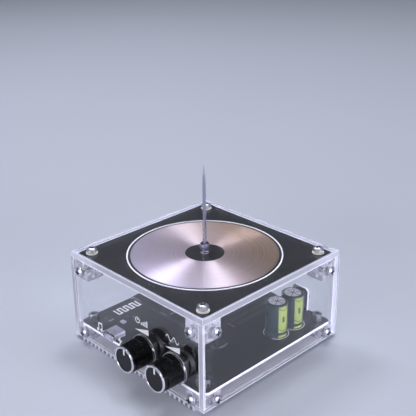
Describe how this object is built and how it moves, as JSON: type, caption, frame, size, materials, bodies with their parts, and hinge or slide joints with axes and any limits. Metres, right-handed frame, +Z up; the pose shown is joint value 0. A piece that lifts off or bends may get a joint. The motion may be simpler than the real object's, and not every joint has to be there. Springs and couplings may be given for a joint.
{
  "type": "desktop plasma coil",
  "caption": "Clear acrylic box with a flat spiral coil under its lid, a discharge needle on top, two turning knobs in front and a finned base.",
  "frame": {"origin": "middle of the plane that the base fins stand on", "axes": "+Z up along the needle, -Y out of the knob panel, +X to the right seen from the knobs"},
  "size_m": [0.1144, 0.1255, 0.1093],
  "materials": {
    "bare_aluminium": "extruded, bare",
    "black_circuit_board": "satin black solder mask on glass-epoxy board",
    "black_package": "moulded epoxy",
    "bright_ring": "polished",
    "capacitor_can": "drawn aluminium, scored top",
    "capacitor_sleeve": "shrink sleeve, dark with one pale green stripe",
    "clear_acrylic": "clear cast acrylic sheet, polished faces, laser-cut edges",
    "copper_winding": "bare copper track, fine concentric turns",
    "enamelled_wire": "enamelled copper wire",
    "ferrite": "coated ferrite",
    "gold_pad": "gold flash",
    "grey_film_case": "moulded case",
    "knob_black": "moulded, gloss",
    "nickel_plate": "bright nickel plate",
    "pale_ceramic": "chip body",
    "silicone_lead": "insulated flexible lead",
    "socket_plastic": "moulded",
    "socket_steel": "nickel-plated sheet steel",
    "thermal_pad": "soft silicone pad",
    "tinned_track": "tinned copper",
    "white_ink": "screen print"
  },
  "bodies": {
    "root": {"antenna_trace": "tinned_track", "base_screws": "nickel_plate", "board_marks": "white_ink", "board_standoffs": "nickel_plate", "cable_socket_insert": "socket_plastic", "cable_socket_shell": "socket_steel", "chip_resistors": "pale_ceramic", "choke_core": "ferrite", "choke_winding": "enamelled_wire", "coil_board": "black_circuit_board", "coil_leads": "silicone_lead", "corner_pads": "gold_pad", "film_capacitor": "grey_film_case", "frequency_pot_body": "black_package", "frequency_pot_can": "black_package", "frequency_pot_pins": "tinned_track", "front_capacitor": "capacitor_can", "front_capacitor_sleeve": "capacitor_sleeve", "front_panel": "clear_acrylic", "front_panel_print": "white_ink", "front_panel_screws": "nickel_plate", "heat_sink_plate": "bare_aluminium", "hub_nut": "nickel_plate", "inlet_board": "black_circuit_board", "inlet_pin": "nickel_plate", "left_panel": "clear_acrylic", "left_panel_screws": "nickel_plate", "logic_chips": "black_package", "lower_corner_blocks": "clear_acrylic", "main_board": "black_circuit_board", "needle": "nickel_plate", "needle_hub": "nickel_plate", "power_inlet": "socket_plastic", "power_pot_body": "black_package", "power_pot_can": "black_package", "power_pot_pins": "tinned_track", "power_transistors": "black_package", "primary_loop": "tinned_track", "radio_crystal": "socket_steel", "rear_capacitor": "capacitor_can", "rear_capacitor_sleeve": "capacitor_sleeve", "rear_panel": "clear_acrylic", "rear_panel_screws": "nickel_plate", "right_panel": "clear_acrylic", "right_panel_screws": "nickel_plate", "spiral_winding": "copper_winding", "thermal_pads": "thermal_pad", "top_panel": "clear_acrylic", "top_panel_screws": "nickel_plate", "upper_corner_blocks": "clear_acrylic"},
    "power_dial": {"power_knob": "knob_black", "power_knob_ring": "bright_ring", "power_knob_pointer": "white_ink", "power_pot_shaft": "nickel_plate"},
    "frequency_dial": {"frequency_knob": "knob_black", "frequency_knob_ring": "bright_ring", "frequency_knob_pointer": "white_ink", "frequency_pot_shaft": "nickel_plate"}
  },
  "joints": [
    {"name": "power_turn", "type": "hinge", "parent": "root", "child": "power_dial", "pos_m": [0.0077, -0.0526, 0.0184], "axis": [0, 1, 0], "range_deg": [-150, 150]},
    {"name": "frequency_turn", "type": "hinge", "parent": "root", "child": "frequency_dial", "pos_m": [0.0323, -0.0526, 0.0184], "axis": [0, 1, 0], "range_deg": [-150, 150]}
  ]
}
